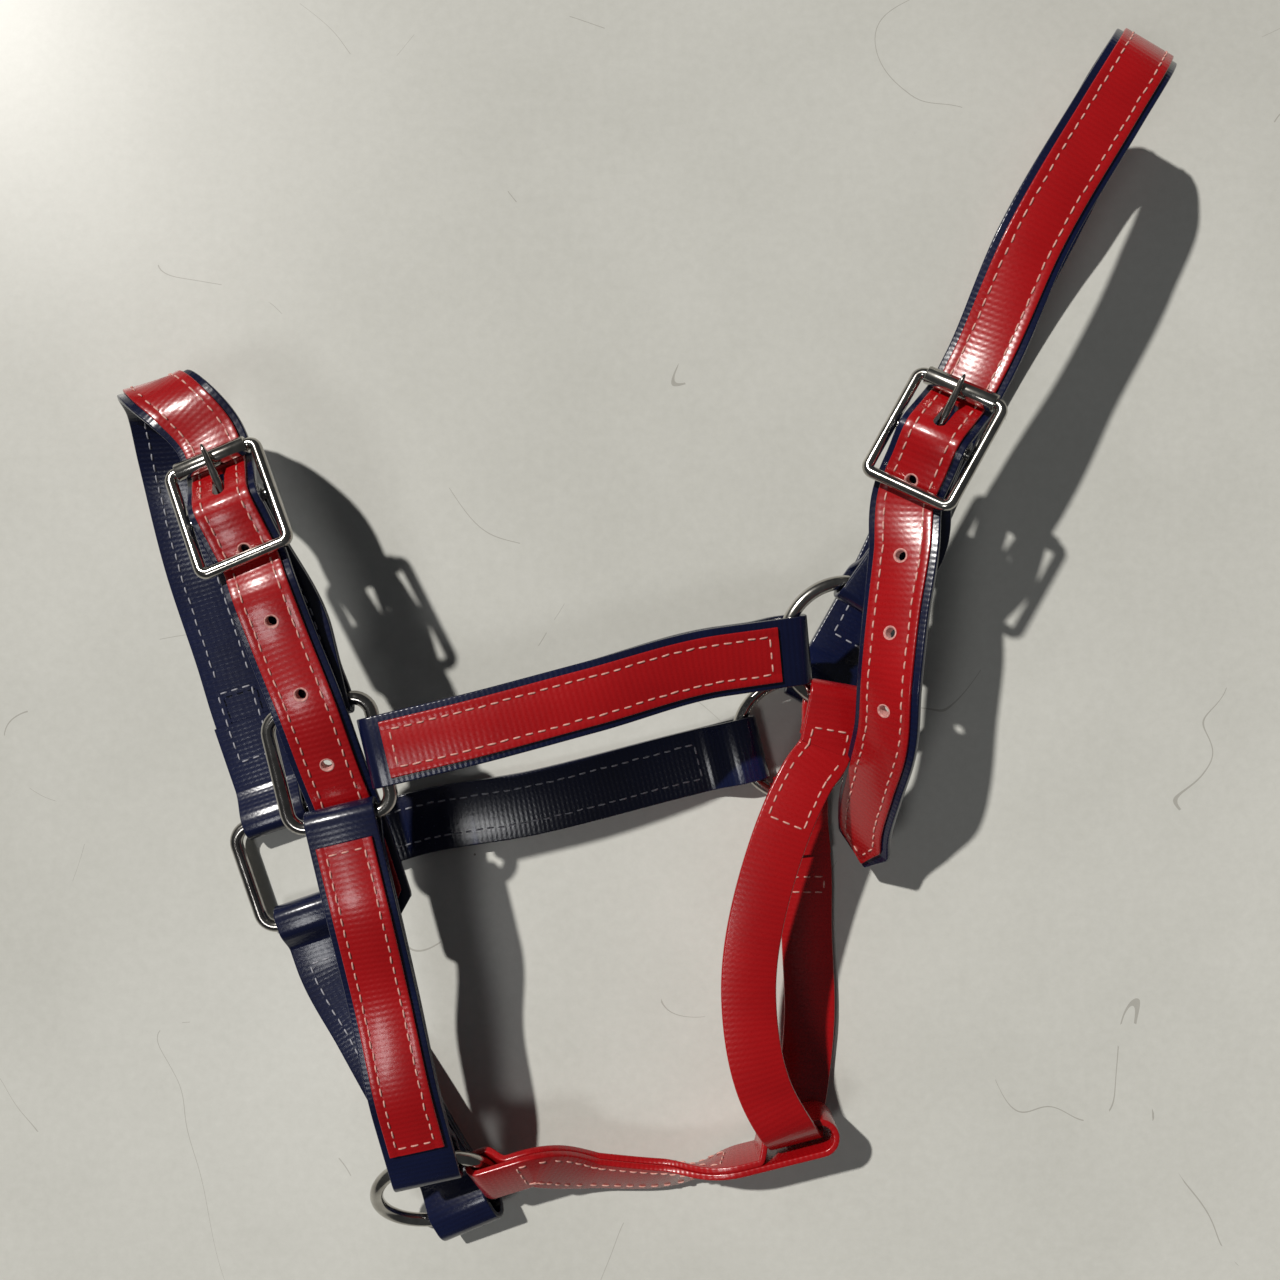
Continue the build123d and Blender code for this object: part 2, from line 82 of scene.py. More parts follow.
HOLE = 4.5
HOLE_PITCH = 27.0
HOLE_COUNT = 5
HOLE_MARGIN = 8               # no hole is nearer to the point of a billet
HOLE_SIDES = 28
PUNCH_REACH = (-4, 3)         # of the punch, from the front of the strap
TIP_LENGTH = 12.0
TIP_HALF = 0.4                # half width of the point of a billet
TIP_START = 0.4               # the tip's taper starts this far before the first section
OVERLAY_INSET = 3.0

BORE = WIRE / 2 + 0.4
TILTED_BORE = WIRE / 2 + 1.3
BAR_BORE = BAR_DIAMETER / 2 + 0.3
LOOP_BORE = 4.8
TAPER = 14.0
END_LENGTH = 24.0
LAP = 40.0
SHORT_LAP = 24.0
OVERLAY_SETBACK = 13.0
SEAT = 8.0
BAR_PLAY = 0.4
SKEW_PLAY = 2.2
RUNNING_FIT = 0.06            # radial clearance of roller and tongue
LAYER_GAP = 0.03              # between the two layers of a doubled strap
BASE_CORNER = 0.55            # rounding of the edges of the base webbing
COVER_CORNER = 0.45
THROAT_CORNER = 0.6
NOTCH = ((-4.5, -6), (8.5, -6), (8.5, 6), (-4.5, 6))     # in the chape, round the tongue's eye
NOTCH_HALF = 2.2

# sewing
STITCH_PITCH = 4.4
STITCH_LENGTH = 3.0
THREAD = 0.29                 # thread radius
SEAM_INSET = 3.2              # seam from the edge of the red strip
SEAM_LIFT = 0.05              # seam above or below the face that it is sewn through
COVER_SEAM_SINK = 0.1         # seam below the top of the red strip, in its groove
GROOVE = (SEAM_INSET, 0.16, 1.0)    # inset, depth and half width of the pressed line under a seam
FINE = 1.6                    # spacing of the sections of the bands
EYE_HEIGHT = 500              # camera above the surface


# ---------------------------------------------------------------- planes
class Plane:
    """Origin with x and z directions; y completes the right-handed set."""

    def __init__(self, origin, x, z):
        self.origin = Vector(origin)
        self.z = Vector(z).normalized()
        x = Vector(x)
        self.x = (x - self.z * x.dot(self.z)).normalized()
        self.y = self.z.cross(self.x)

    def point(self, x, y, z):
        return self.origin + self.x * x + self.y * y + self.z * z


def at(x, y, z):
    """A place measured from the laid-out halter's origin, moved into the frame."""
    return Vector((x, y, z)) - CENTRE


def turned(vector, axis, degrees):
    return Matrix.Rotation(math.radians(degrees), 3, Vector(axis)) @ Vector(vector)


def upright(origin, heading, pitch=0.0, roll=0.0):
    """Level plane turned to a heading, after a pitch and a roll."""
    x = turned(turned((1, 0, 0), (0, 1, 0), pitch), (0, 0, 1), heading)
    z = turned(turned(turned((0, 0, 1), (1, 0, 0), -roll), (0, 1, 0), pitch), (0, 0, 1), heading)
    return Plane(origin, x, z)


NEAR_NOSE_RING = upright(at(-108.9, -43.1, 60), 13.5)
FAR_NOSE_RING = upright(at(-136.1, -88.5, 6.8), 19.0)
NEAR_CHEEK_RING = Plane(at(74.7, -1.3, 42), (1, 0, -0.10), (0.10, -0.14, 1))
FAR_CHEEK_RING = upright(at(60.8, -38.3, 6.8), 0)
CHIN_RING = Plane(at(-77, -208.5, 23.5), (0.966, 0.259, 0), (0.166, -0.621, 0.766))
CROWN_BUCKLE = upright(at(100.7, 69, 70), 61, 0, 20)
NOSE_BUCKLE = upright(at(-141, 45.4, 70), 112.9, 14, 0)


# ---------------------------------------------------------------- strap ends
class End:
    """Folded end of a strap: x out of the strap, z out of its front, origin at the wire."""

    def __init__(self, plane, bore, before, after, thick=STRAP_THICK, lap=0.0, taper=TAPER,
                 length=END_LENGTH, setback=OVERLAY_SETBACK):
        self.plane = plane
        self.bore = bore
        self.before = before
        self.after = after
        self.thick = thick
        self.lap = lap
        self.taper = taper
        self.front = bore + thick
        self.length = lap + 2.0 if lap else length
        self.edge = after + self.front - setback

    def leaving(self):
        out = -self.plane.x
        side = -self.plane.y
        seat = min(SEAT, self.length - self.before - self.taper - 0.5)
        stops = (self.edge, -self.length + seat, -self.length)
        return [(self.plane.point(x, 0, self.front), side, out) for x in stops]

    def arriving(self):
        return [(point, -side, -out) for point, side, out in self.leaving()][::-1]

    def turn(self):
        """Middle line of the webbing from the front layer round the wire to the back layer."""
        radius = self.bore + self.thick / 2
        reach = self.after - self.edge
        steps = max(2, round(reach / FINE))
        line = [(self.edge + reach * i / steps, radius, 0.0, 1.0) for i in range(1, steps)]
        for i in range(17):
            a = math.radians(90 - 180 * i / 16)
            line.append((self.after + radius * math.cos(a), radius * math.sin(a),
                         math.cos(a), math.sin(a)))
        close = self.before + self.taper
        back = self.front - 1.5 * self.thick - LAYER_GAP
        rise = back + radius
        for i in range(13):
            t = i / 12
            slope = 6 * t * (1 - t) * rise / self.taper
            size = math.hypot(1, slope)
            line.append((-self.before - self.taper * t, -radius + rise * t * t * (3 - 2 * t),
                         -slope / size, -1 / size))
        tail = self.lap if self.lap else self.length
        steps = max(2, round((tail - close) / FINE))
        for i in range(1, steps + (1 if self.lap else 0)):
            line.append((-close - (tail - close) * i / steps, back, 0.0, -1.0))
        side = self.plane.y
        return [(self.plane.point(x, 0, z), side, self.plane.x * nx + self.plane.z * nz)
                for x, z, nx, nz in line]


def on_round_ring(ring, angle, pitch=0.0, front=1, inside=False, shift=0.0):
    """Plane of a strap end at an angle round a ring: x out of the strap, z out of its front."""
    a = math.radians(angle)
    radial = ring.x * math.cos(a) + ring.y * math.sin(a)
    tangent = ring.z.cross(radial)
    out = turned(radial if inside else -radial, tangent, pitch)
    normal = out.cross(tangent)
    if normal.dot(ring.z) * front < 0:
        normal = -normal
    return Plane(ring.origin + radial * ROUND_RING_RADIUS + normal * shift, out, normal)


def on_nose_ring(ring, bar, front=1):
    """The same on one bar of a rectangular ring."""
    bars = {
        "cheek": (ring.x, NOSE_RING_ACROSS / 2),
        "nose": (ring.y, NOSE_RING_ALONG / 2),
        "chin": (-ring.y, NOSE_RING_ALONG / 2),
    }
    away, reach = bars[bar]
    return Plane(ring.origin + away * reach, -away, ring.z * front)


def on_centre_bar(buckle, pitch):
    """The same on a buckle's centre bar."""
    x = turned(buckle.x, buckle.y, -pitch)
    z = turned(buckle.z, buckle.y, -pitch)
    return Plane(buckle.origin - buckle.z * BAR_DROP, x, z)


def sagitta(width):
    """How far a round ring curves away from a strap of this width."""
    return ROUND_RING_RADIUS - math.sqrt(ROUND_RING_RADIUS ** 2 - (width / 2) ** 2)


def side_of(azimuth, elevation=0.0):
    """Direction at an azimuth and an elevation in degrees."""
    a = math.radians(azimuth)
    e = math.radians(elevation)
    return Vector((math.cos(e) * math.cos(a), math.cos(e) * math.sin(a), math.sin(e)))


def station(x, y, z, azimuth, elevation=0.0):
    """Point, direction across, and no fixed direction along."""
    return (at(x, y, z), side_of(azimuth, elevation), None)


def weave(buckle):
    """Stations of a billet under the roller, over the centre bar and under the frame."""
    heights = {-30: -4.3, -19.4: -4.7, -9.7: 0.4, 0: 5.2, 9.7: -0.2, 19.4: -5.8, 30: -5.2}
    return [(buckle.point(x, 0, z), buckle.y, None) for x, z in heights.items()]


SAG = sagitta(STRAP_WIDTH) + 0.3
NARROW_SAG = sagitta(NARROW_WIDTH) + 0.3

near_cheek_front = End(on_nose_ring(NEAR_NOSE_RING, "cheek"), BORE, BAR_PLAY, BAR_PLAY, setback=8.5)
near_cheek_rear = End(on_round_ring(NEAR_CHEEK_RING, 187, -5), BORE, BAR_PLAY, SAG)
far_cheek_front = End(on_nose_ring(FAR_NOSE_RING, "cheek", -1), BORE, BAR_PLAY, BAR_PLAY)
far_cheek_rear = End(on_round_ring(FAR_CHEEK_RING, 194, 0, -1), BORE, BAR_PLAY, SAG)
near_chin_top = End(on_nose_ring(NEAR_NOSE_RING, "chin"), BORE, BAR_PLAY, BAR_PLAY)
near_chin_low = End(on_round_ring(CHIN_RING, 85, 20, shift=-0.65), TILTED_BORE, BAR_PLAY, SAG,
                    setback=20.0)
far_chin_top = End(on_nose_ring(FAR_NOSE_RING, "chin", -1), BORE, SKEW_PLAY, SKEW_PLAY,
                   taper=9.0, length=18.0)
far_chin_low = End(on_round_ring(CHIN_RING, 285, -28, -1, True, -0.9), TILTED_BORE, SAG, BAR_PLAY)
crown_far = End(on_round_ring(FAR_CHEEK_RING, 60.6, 0, -1), BORE, BAR_PLAY, SAG, lap=LAP)
nose_far = End(on_nose_ring(FAR_NOSE_RING, "nose", -1), BORE, BAR_PLAY, BAR_PLAY, lap=LAP)
throat_near = End(on_round_ring(NEAR_CHEEK_RING, 260), BORE, BAR_PLAY, NARROW_SAG,
                  lap=12.5, taper=10.0)
throat_far = End(on_round_ring(FAR_CHEEK_RING, 275.6, 0, -1), BORE, BAR_PLAY, NARROW_SAG,
                 lap=SHORT_LAP)
crown_chape_ring = End(on_round_ring(NEAR_CHEEK_RING, 60, -14, shift=0.46), TILTED_BORE,
                       BAR_PLAY, SAG, CHAPE_THICK, 0, 8.0, 16.0)
nose_chape_ring = End(on_nose_ring(NEAR_NOSE_RING, "nose"), BORE, BAR_PLAY, BAR_PLAY, CHAPE_THICK)
crown_chape_bar = End(on_centre_bar(CROWN_BUCKLE, 37), BAR_BORE, BAR_PLAY, 0, CHAPE_THICK,
                      0, 8.0, 12.0)
nose_chape_bar = End(on_centre_bar(NOSE_BUCKLE, 37), BAR_BORE, BAR_PLAY, 0, CHAPE_THICK,
                     0, 10.0, 14.0)
connector_ring = End(on_round_ring(CHIN_RING, 4.1), BORE, BAR_PLAY, NARROW_SAG, STRAP_THICK,
                     0, 8.0, 13.0)
LOOP_HEADING = 14
loop_plane = Plane(at(51.8, -191.0, 19.5), side_of(LOOP_HEADING), side_of(LOOP_HEADING - 90))
connector_loop = End(loop_plane, LOOP_BORE, 2.0, 16.5, STRAP_THICK, 0, 6.0, 14.0)

near_cheek_path = near_cheek_front.leaving() + [
    station(-18, -20.2, 61.5, 103.2),
] + near_cheek_rear.arriving()
far_cheek_path = far_cheek_front.leaving() + [
    station(-40, -63.5, 4, -76),
] + far_cheek_rear.arriving()
near_chin_path = near_chin_top.leaving() + [
    station(-91.5, -127, 55.5, 11.5),
] + near_chin_low.arriving()
far_chin_path = far_chin_top.leaving() + [
    station(-106.5, -153.4, 6, 207.8),
] + far_chin_low.arriving()
crown_path = [
    station(86.5, -87.7, 15, 183, -62),
    station(83.5, -70, 28, 182, -59),
    station(84.2, -51, 45.5, 179, -53),
    station(85.6, -33.9, 59.5, 175, -44),
    station(85.4, -15, 66.5, 170, -42),
    station(88.0, 10.4, 66.3, 164, -39),
    station(90.8, 31, 66, 158, -30),
] + weave(CROWN_BUCKLE)[1:] + [
    station(134, 136, 72, 151),
    station(162, 183, 67, 148),
    station(178, 207.5, 57.5, 149),
    station(183.2, 214.5, 45, 149.2),
    station(178.5, 206, 31.5, 150),
    station(160, 166, 17, 153),
    station(122, 86, 5, 153.5),
] + crown_far.arriving()
nose_path = [
    station(-90.6, -106.6, 48.5, 190),
    station(-96.9, -86.5, 49.5, 190),
    station(-103.6, -64.4, 52.2, 192),
    station(-109.4, -43.2, 60.5, 195),
    station(-114.5, -23.4, 68.2, 198),
    station(-123.5, 0.7, 70.5, 201),
] + weave(NOSE_BUCKLE) + [
    station(-163.5, 84, 57, 201),
    station(-174, 91, 50, 198),
    station(-178.5, 92.5, 41, 197),
    station(-180.5, 88, 27, 196),
    station(-181, 70, 14, 194),
    station(-175, 31, 4, 195),
    station(-163, -8, 1.6, 198),
] + nose_far.arriving()
throat_path = (throat_near.leaving() + [
    station(61, -49, 45.5, 335),
    station(47, -82, 48, 341),
    station(39.5, -131, 45, 4),
    station(46.5, -167, 41, 16),
    station(55.5, -183.5, 36.5, 15),
    station(60.5, -191.5, 20, 14),
    station(61.8, -187.5, 6.6, 12),
    station(64.5, -175, 2.2, 8),
    station(67, -150, 1.6, 2),
    station(66, -115, 1.5, 0),
] + throat_far.arriving())
connector_path = connector_ring.leaving() + [
    station(-18, -207, 16, 98, 42),
    station(10, -209, 13.5, 95, 50),
] + connector_loop.arriving()
crown_chape_path = crown_chape_ring.leaving() + crown_chape_bar.arriving()
nose_chape_path = nose_chape_ring.leaving() + nose_chape_bar.arriving()


# ---------------------------------------------------------------- tracks
def slopes(values, spans, fixed):
    """Slope at each station: fixed, or the mean of those of the two spans beside it."""
    result = []
    last = len(values) - 1
    for i, value in enumerate(values):
        if fixed[i] is not None:
            result.append(fixed[i])
        elif i == 0:
            result.append((values[1] - value) / spans[0])
        elif i == last:
            result.append((value - values[i - 1]) / spans[-1])
        else:
            before = (value - values[i - 1]) * (spans[i] / spans[i - 1])
            after = (values[i + 1] - value) * (spans[i - 1] / spans[i])
            result.append((before + after) / (spans[i - 1] + spans[i]))
    return result


def hermite(a, b, slope_a, slope_b, span, t):
    """Value and rate of a cubic between two stations, at a share t of the span."""
    value = a * (2 * t ** 3 - 3 * t ** 2 + 1) + b * (3 * t ** 2 - 2 * t ** 3)
    value += slope_a * (span * (t ** 3 - 2 * t ** 2 + t)) + slope_b * (span * (t ** 3 - t ** 2))
    rate = (b - a) * ((6 * t - 6 * t ** 2) / span)
    rate += slope_a * (3 * t ** 2 - 4 * t + 1) + slope_b * (3 * t ** 2 - 2 * t)
    return value, rate


class Track:
    """The front face of a strap, finely divided: places on it are found by length."""

    def __init__(self, stations):
        points = [s[0] for s in stations]
        sides = [s[1] for s in stations]
        spans = [(b - a).length for a, b in zip(points, points[1:])]
        point_slopes = slopes(points, spans, [s[2] for s in stations])
        side_slopes = slopes(sides, spans, [Vector((0, 0, 0)) if s[2] else None for s in stations])
        self.rows = []
        self.lengths = [0.0]
        self.marks = []
        for i, span in enumerate(spans):
            steps = max(1, round(span / FINE))
            self.marks.append(len(self.rows))
            for step in range(steps + (1 if i == len(spans) - 1 else 0)):
                t = step / steps
                point, along = hermite(points[i], points[i + 1], point_slopes[i],
                                       point_slopes[i + 1], span, t)
                side, _ = hermite(sides[i], sides[i + 1], side_slopes[i], side_slopes[i + 1],
                                  span, t)
                plane = Plane(point, side, along)
                self.rows.append((point, plane.x, plane.y))
        for a, b in zip(self.rows, self.rows[1:]):
            self.lengths.append(self.lengths[-1] + (b[0] - a[0]).length)
        self.marks.append(len(self.rows) - 1)
        self.length = self.lengths[-1]

    def place(self, s):
        """Point, side, normal and direction of travel at a length along the track."""
        s = min(max(s, 0.0), self.length - 1e-6)
        low = 0
        high = len(self.lengths) - 1
        while high - low > 1:
            middle = (low + high) // 2
            if self.lengths[middle] <= s:
                low = middle
            else:
                high = middle
        t = (s - self.lengths[low]) / (self.lengths[high] - self.lengths[low])
        a = self.rows[low]
        b = self.rows[high]
        travel = (b[0] - a[0]).normalized()
        return a[0].lerp(b[0], t), a[1].lerp(b[1], t), a[2].lerp(b[2], t), travel

    def layer(self, depth, first, last):
        """Middle line of a layer at this height above the front, between two rows."""
        return [(p + n * depth, s, n) for p, s, n in self.rows[first:last + 1]]


def reverse_layer(rows):
    """The same layer seen from the back, in the other direction."""
    return [(p, s, -n) for p, s, n in rows[::-1]]


# ---------------------------------------------------------------- meshes
def make_object(name, bm, material, body, sharp=40.0):
    """A piece in metres that rides on a body, smooth except at edges sharper than the angle."""
    bmesh.ops.recalc_face_normals(bm, faces=bm.faces)
    mesh = bpy.data.meshes.new(name)
    bm.to_mesh(mesh)
    bm.free()
    mesh.transform(Matrix.Scale(MM, 4))
    mesh.materials.append(material)
    mesh.shade_smooth()
    mesh.set_sharp_from_angle(angle=math.radians(sharp))
    piece = bpy.data.objects.new(name, mesh)
    bpy.context.scene.collection.objects.link(piece)
    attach(piece, body)
    return piece


def web_outline(width, thick, corner, groove):
    """Section of webbing with round edges; the outer face has a shallow line along each edge."""
    half = width / 2
    low = -thick / 2
    points = []
    for cx, cy, start in ((half, thick / 2, 0), (-half, thick / 2, 90),
                          (-half, low, 180), (half, low, 270)):
        mx = cx - math.copysign(corner, cx)
        my = cy - math.copysign(corner, cy)
        for i in range(4):
            a = math.radians(start + 90 * i / 3)
            points.append((mx + corner * math.cos(a), my + corner * math.sin(a)))
        if start == 0 and groove:
            inset, depth, reach = groove
            for sign in (1, -1):
                middle = sign * (half - inset)
                points += [(middle + shift, thick / 2 - drop) for shift, drop in
                           ((reach, 0), (reach / 3, depth), (-reach / 3, depth), (-reach, 0))]
    return points


def tip_share(distance, half):
    """Half width at a distance from the point of a billet."""
    if distance >= TIP_LENGTH:
        return half
    return max(TIP_HALF, half * distance / TIP_LENGTH)


def sweep_band(rows, outline, tip=None):
    """Sweeps an outline along rows of (point, side, normal); UVs are metres across and along."""
    bm = bmesh.new()
    uv = bm.loops.layers.uv.new("strap")
    half = max(abs(x) for x, _ in outline)
    rings = []
    places = []
    travelled = 0.0
    for i, (point, side, normal) in enumerate(rows):
        if i:
            travelled += (point - rows[i - 1][0]).length
        share = 1.0
        if tip is not None:
            share = tip_share(travelled + tip, half) / half
        rings.append([bm.verts.new(point + side * (x * share) + normal * y) for x, y in outline])
        places.append(travelled)
    count = len(outline)
    for i in range(len(rings) - 1):
        for j in range(count):
            k = (j + 1) % count
            face = bm.faces.new((rings[i][j], rings[i][k], rings[i + 1][k], rings[i + 1][j]))
            across = (outline[j][0], outline[k][0], outline[k][0], outline[j][0])
            along = (places[i], places[i], places[i + 1], places[i + 1])
            for loop, u, v in zip(face.loops, across, along):
                loop[uv].uv = (u * MM, v * MM)
    bm.faces.new(rings[0])
    bm.faces.new(rings[-1])
    return bm


def cut(piece, cutter_bm):
    """Takes the cutter's shape out of a piece."""
    mesh = bpy.data.meshes.new("cutter")
    cutter_bm.to_mesh(mesh)
    cutter_bm.free()
    mesh.transform(Matrix.Scale(MM, 4))
    cutter = bpy.data.objects.new("cutter", mesh)
    bpy.context.scene.collection.objects.link(cutter)
    modifier = piece.modifiers.new("punch", "BOOLEAN")
    modifier.object = cutter
    modifier.solver = "EXACT"
    graph = bpy.context.evaluated_depsgraph_get()
    result = bpy.data.meshes.new_from_object(piece.evaluated_get(graph))
    piece.modifiers.clear()
    piece.data = result
    bpy.data.objects.remove(cutter)


def skin(bm, rings, closed):
    """Faces between rings of points; closed joins the last to the first, or the ends are capped."""
    count = len(rings[0])
    for a, b in zip(rings, rings[1:] + rings[:1] if closed else rings[1:]):
        for j in range(count):
            k = (j + 1) % count
            bm.faces.new((a[j], a[k], b[k], b[j]))
    if not closed:
        bm.faces.new(rings[0])
        bm.faces.new(rings[-1])


def lathe(bm, plane, profile, sides):
    """Ring-shaped solid round the plane's z, from a closed profile of (radius, z)."""
    angles = [math.tau * j / sides for j in range(sides)]
    skin(bm, [[bm.verts.new(plane.point(r * math.cos(a), r * math.sin(a), z)) for a in angles]
              for r, z in profile], True)


def prism(bm, plane, outline, low, high):
    """Adds a closed prism: outline in the plane's x and y, from low to high along its z."""
    bottom = [bm.verts.new(plane.point(x, y, low)) for x, y in outline]
    top = [bm.verts.new(plane.point(x, y, high)) for x, y in outline]
    bm.faces.new(bottom[::-1])
    bm.faces.new(top)
    for i in range(len(outline)):
        j = (i + 1) % len(outline)
        bm.faces.new((bottom[i], bottom[j], top[j], top[i]))


def slot_outline(radius, stretch):
    """Round outline, or a slot when stretched along x."""
    points = []
    for i in range(HOLE_SIDES):
        a = math.tau * (i + 0.5) / HOLE_SIDES
        points.append((radius * math.cos(a) + math.copysign(stretch, math.cos(a)),
                       radius * math.sin(a)))
    return points


def tube(name, points, radius, material, body, up, closed=True):
    """Round wire along points, closed to a ring or with flat ends."""
    bm = bmesh.new()
    rings = []
    count = len(points)
    for i, point in enumerate(points):
        if closed:
            along = points[(i + 1) % count] - points[i - 1]
        else:
            along = points[min(i + 1, count - 1)] - points[max(i - 1, 0)]
        section = Plane(point, up, along)
        rings.append([bm.verts.new(section.point(radius * math.cos(math.tau * j / WIRE_SIDES),
                                                 radius * math.sin(math.tau * j / WIRE_SIDES), 0))
                      for j in range(WIRE_SIDES)])
    skin(bm, rings, closed)
    return make_object(name, bm, material, body)


def rounded_rectangle(plane, half_x, half_y, corner):
    """Points round a rectangle with round corners, in the plane."""
    points = []
    for sx, sy, start in ((1, 1, 0), (-1, 1, 90), (-1, -1, 180), (1, -1, 270)):
        for i in range(9):
            a = math.radians(start + 90 * i / 8)
            points.append(plane.point(sx * (half_x - corner) + corner * math.cos(a),
                                      sy * (half_y - corner) + corner * math.sin(a), 0))
    smooth = []
    for a, b in zip(points, points[1:] + points[:1]):
        steps = max(1, round((b - a).length / 2.5))
        smooth += [a.lerp(b, i / steps) for i in range(steps)]
    return smooth


# ---------------------------------------------------------------- materials
def new_material(name):
    """Empty material with its node tree and shader."""
    material = bpy.data.materials.new(name)
    material.use_nodes = True
    tree = material.node_tree
    return material, tree, tree.nodes["Principled BSDF"]


def add_node(tree, kind, **settings):
    """Node whose properties, or else inputs, are set by name."""
    node = tree.nodes.new(kind)
    for key, value in settings.items():
        if hasattr(node, key):
            setattr(node, key, value)
        else:
            node.inputs[key.replace("_", " ")].default_value = value
    return node


def math_node(tree, operation, a, b=None):
    """Output of an operation on numbers or sockets."""
    node = tree.nodes.new("ShaderNodeMath")
    node.operation = operation
    for i, value in enumerate((a, b)):
        if isinstance(value, (int, float)):
            node.inputs[i].default_value = value
        elif value is not None:
            tree.links.new(value, node.inputs[i])
    return node.outputs[0]


def ramp(tree, fac, stops):
    """Colour that follows a factor through (position, colour) stops."""
    node = tree.nodes.new("ShaderNodeValToRGB")
    tree.links.new(fac, node.inputs["Fac"])
    for i, (position, colour) in enumerate(stops):
        if i < 2:
            element = node.color_ramp.elements[i]
            element.position = position
        else:
            element = node.color_ramp.elements.new(position)
        element.color = (*colour, 1)
    return node.outputs["Color"]


def webbing_material(name, dark, plain, bright, rib_pitch, roughness):
    """Glossy coated webbing: the weave shows through as fine ribs across the strap."""
    material, tree, shader = new_material(name)
    link = tree.links.new
    place = add_node(tree, "ShaderNodeUVMap", uv_map="strap")
    split = tree.nodes.new("ShaderNodeSeparateXYZ")
    link(place.outputs["UV"], split.inputs[0])
    spot = tree.nodes.new("ShaderNodeTexCoord")
    cloud = add_node(tree, "ShaderNodeTexNoise", Scale=26.0, Detail=4.0, Roughness=0.55)
    link(spot.outputs["Object"], cloud.inputs["Vector"])
    speck = add_node(tree, "ShaderNodeTexNoise", Scale=900.0, Detail=3.0, Roughness=0.6)
    link(spot.outputs["Object"], speck.inputs["Vector"])
    # ribs across, with threads along that interrupt them
    wander = math_node(tree, "MULTIPLY", cloud.outputs["Fac"], 0.0022)
    along = math_node(tree, "ADD", split.outputs["Y"], wander)
    rib = math_node(tree, "SINE", math_node(tree, "MULTIPLY", along, math.tau / rib_pitch))
    thread = math_node(tree, "SINE", math_node(tree, "MULTIPLY", split.outputs["X"],
                                               math.tau / 0.0024))
    weave_height = math_node(tree, "MULTIPLY", rib, math_node(tree, "ADD", math_node(
        tree, "MULTIPLY", thread, 0.35), 0.75))
    patch = math_node(tree, "MULTIPLY", cloud.outputs["Fac"], cloud.outputs["Fac"])
    height = math_node(tree, "MULTIPLY", weave_height, math_node(tree, "ADD", patch, 0.35))
    height = math_node(tree, "ADD", height, math_node(tree, "MULTIPLY", speck.outputs["Fac"], 0.9))
    bump = add_node(tree, "ShaderNodeBump", Strength=0.4, Distance=0.00008)
    link(height, bump.inputs["Height"])
    link(bump.outputs["Normal"], shader.inputs["Normal"])
    # colour: painted shade, slightly darker in the hollows of the weave; the tone is also uneven
    # over the length
    shade = math_node(tree, "ADD", math_node(tree, "MULTIPLY", cloud.outputs["Fac"], 0.8),
                      math_node(tree, "MULTIPLY", rib, 0.05))
    colour = ramp(tree, shade, ((0.2, dark), (0.45, plain), (0.72, bright)))
    link(colour, shader.inputs["Base Color"])
    rough = math_node(tree, "MULTIPLY_ADD", speck.outputs["Fac"], 0.14)
    rough.node.inputs[2].default_value = roughness
    link(rough, shader.inputs["Roughness"])
    shader.inputs["Coat Weight"].default_value = 0.22
    shader.inputs["Coat Roughness"].default_value = 0.12
    shader.inputs["IOR"].default_value = 1.5
    return material


def thread_material(name, pale, dull):
    """Twisted sewing thread."""
    material, tree, shader = new_material(name)
    spot = tree.nodes.new("ShaderNodeTexCoord")
    grain = add_node(tree, "ShaderNodeTexNoise", Scale=1400.0, Detail=2.0)
    tree.links.new(spot.outputs["Object"], grain.inputs["Vector"])
    colour = ramp(tree, grain.outputs["Fac"], ((0.3, dull), (0.65, pale)))
    tree.links.new(colour, shader.inputs["Base Color"])
    twist = add_node(tree, "ShaderNodeBump", Strength=0.5, Distance=0.0001)
    tree.links.new(grain.outputs["Fac"], twist.inputs["Height"])
    tree.links.new(twist.outputs["Normal"], shader.inputs["Normal"])
    shader.inputs["Roughness"].default_value = 0.7
    shader.inputs["Sheen Weight"].default_value = 0.2
    return material


def nickel_material(name, tint, dull):
    """Nickel plate with fine scratches and a little tarnish."""
    material, tree, shader = new_material(name)
    spot = tree.nodes.new("ShaderNodeTexCoord")
    cloud = add_node(tree, "ShaderNodeTexNoise", Scale=120.0, Detail=5.0, Roughness=0.6)
    scratch = add_node(tree, "ShaderNodeTexNoise", Scale=700.0, Detail=2.0, Distortion=1.5)
    for texture in (cloud, scratch):
        tree.links.new(spot.outputs["Object"], texture.inputs["Vector"])
    colour = ramp(tree, cloud.outputs["Fac"], ((0.3, dull), (0.6, tint)))
    tree.links.new(colour, shader.inputs["Base Color"])
    rough = math_node(tree, "MULTIPLY_ADD", cloud.outputs["Fac"], 0.22)
    rough.node.inputs[2].default_value = 0.06
    tree.links.new(rough, shader.inputs["Roughness"])
    bump = add_node(tree, "ShaderNodeBump", Strength=0.12, Distance=0.00006)
    tree.links.new(scratch.outputs["Fac"], bump.inputs["Height"])
    tree.links.new(bump.outputs["Normal"], shader.inputs["Normal"])
    shader.inputs["Metallic"].default_value = 1.0
    return material


